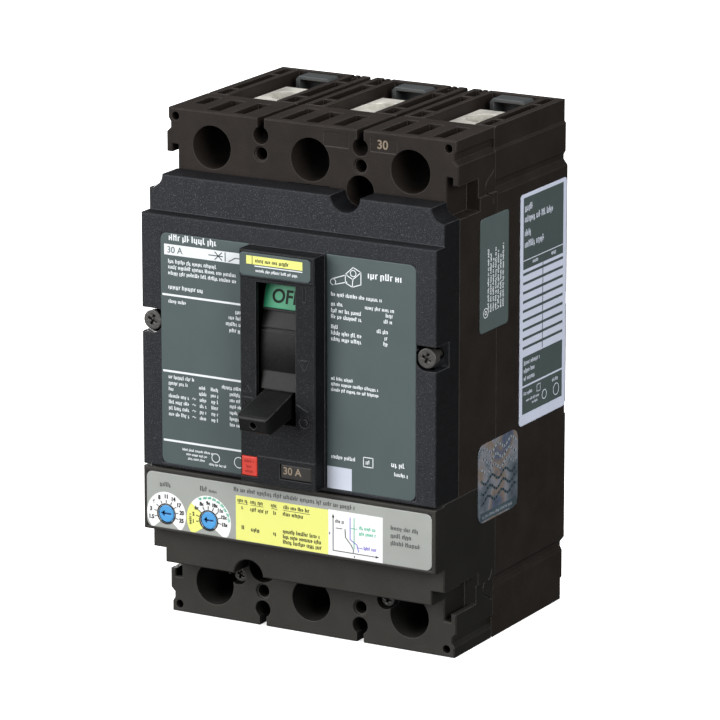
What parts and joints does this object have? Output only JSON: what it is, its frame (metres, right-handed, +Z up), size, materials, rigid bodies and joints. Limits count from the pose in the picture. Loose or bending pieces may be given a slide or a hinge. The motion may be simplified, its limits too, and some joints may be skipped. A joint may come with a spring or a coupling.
{
  "type": "motor protection breaker",
  "caption": "Moulded-case motor protection breaker with lug terminals, a toggle handle in a raised boss and an adjustable trip unit.",
  "frame": {"origin": "centre of the rear mounting face", "axes": "+X across the poles, +Y into the mounting panel, +Z up towards the line terminals; the front faces -Y"},
  "size_m": [0.1042, 0.1055, 0.163],
  "materials": {
    "case_brown": "fine matte phenolic",
    "cover_black": "fine spark-eroded texture",
    "unit_brown": "fine matte phenolic",
    "plate_slate": "satin printed plate",
    "plate_black": "satin",
    "label_grey": "printed film",
    "label_lavender": "printed film",
    "label_greygreen": "printed film",
    "sticker_foil": "holographic-look film",
    "steel_dark": "blackened",
    "steel_zinc": "zinc plated",
    "steel_spring": "spring wire",
    "lug_aluminium": "tin plated",
    "copper": "copper",
    "clip_grey": "matte",
    "chute_grey": "fibre and steel",
    "rotor_grey": "matte",
    "handle_black": "satin",
    "flag_green": "printed",
    "flag_red": "printed",
    "button_red": "satin",
    "dial_blue": "satin",
    "switch_black": "matte",
    "board_green": "solder mask",
    "coil_dark": "potted"
  },
  "bodies": {
    "case": {"accessory_cover": "cover_black", "accessory_cover_screws": "steel_dark", "base": "case_brown", "case_screws": "steel_dark", "circuit_board": "board_green", "current_transformers": "coil_dark", "escutcheon_plate": "plate_black", "line_lug_1": "lug_aluminium", "line_lug_2": "lug_aluminium", "line_lug_3": "lug_aluminium", "line_lug_screws": "steel_zinc", "line_terminal_1": "copper", "line_terminal_2": "copper", "line_terminal_3": "copper", "line_terminal_clips": "clip_grey", "load_lug_1": "lug_aluminium", "load_lug_2": "lug_aluminium", "load_lug_3": "lug_aluminium", "load_lug_screws": "steel_zinc", "load_terminal_1": "copper", "load_terminal_2": "copper", "load_terminal_3": "copper", "load_terminal_clips": "clip_grey", "lower_arc_chute_1": "chute_grey", "lower_arc_chute_2": "chute_grey", "lower_arc_chute_3": "chute_grey", "main_springs": "steel_spring", "mechanism_frame": "steel_zinc", "mid_cover": "case_brown", "nameplate_left": "plate_slate", "nameplate_right": "plate_slate", "rating_plug": "plate_black", "rotary_switches": "switch_black", "setting_label": "label_grey", "side_rating_label": "label_greygreen", "side_record_label": "label_lavender", "side_seal_sticker": "sticker_foil", "trip_button_spring": "steel_spring", "trip_solenoid": "coil_dark", "trip_unit_case": "unit_brown", "trip_unit_screws": "steel_dark", "upper_arc_chute_1": "chute_grey", "upper_arc_chute_2": "chute_grey", "upper_arc_chute_3": "chute_grey"},
    "handle": {"toggle_handle": "handle_black", "off_flag": "flag_green", "on_flag": "flag_red", "handle_yoke": "steel_zinc"},
    "contact_shaft": {"contact_shaft": "rotor_grey", "moving_contact_1": "copper", "moving_contact_2": "copper", "moving_contact_3": "copper"},
    "drive_links": {"drive_links": "steel_zinc"},
    "trip_button": {"trip_button": "button_red"},
    "trip_bar": {"trip_bar": "rotor_grey"},
    "current_dial": {"current_setting_dial": "dial_blue"},
    "magnetic_dial": {"magnetic_setting_dial": "dial_blue"}
  },
  "joints": [
    {"name": "handle_swing", "type": "hinge", "parent": "case", "child": "handle", "pos_m": [0, -0.0224, 0.0134], "axis": [-1, 0, 0], "range_deg": [0, 26.4]},
    {"name": "shaft_turn", "type": "hinge", "parent": "case", "child": "contact_shaft", "pos_m": [0, -0.028, -0.002], "axis": [-1, 0, 0], "range_deg": [0, 26.4]},
    {"name": "link_pivot", "type": "hinge", "parent": "handle", "child": "drive_links", "pos_m": [0, -0.03408, 0.01066], "axis": [-1, 0, 0], "range_deg": [-26.4, 0]},
    {"name": "button_press", "type": "slide", "parent": "case", "child": "trip_button", "axis": [0, 1, 0], "range_m": [0, 0.0024], "stiffness_N_per_m": 150, "springref_m": -0.003, "deforming": ["trip_button_spring"]},
    {"name": "trip_bar_turn", "type": "hinge", "parent": "case", "child": "trip_bar", "pos_m": [0, -0.062, -0.014], "axis": [1, 0, 0], "range_deg": [0, 18.2]},
    {"name": "current_dial_turn", "type": "hinge", "parent": "case", "child": "current_dial", "pos_m": [-0.0437, -0.086, -0.0449], "axis": [0, 1, 0], "range_deg": [0, 225]},
    {"name": "magnetic_dial_turn", "type": "hinge", "parent": "case", "child": "magnetic_dial", "pos_m": [-0.0283, -0.086, -0.0449], "axis": [0, 1, 0], "range_deg": [0, 225]}
  ],
  "couplings": [
    {"joint": "shaft_turn", "follows": "handle_swing", "ratio": 1},
    {"joint": "link_pivot", "follows": "handle_swing", "ratio": -1},
    {"joint": "trip_bar_turn", "follows": "button_press", "rad_per_m": 130.9}
  ]
}
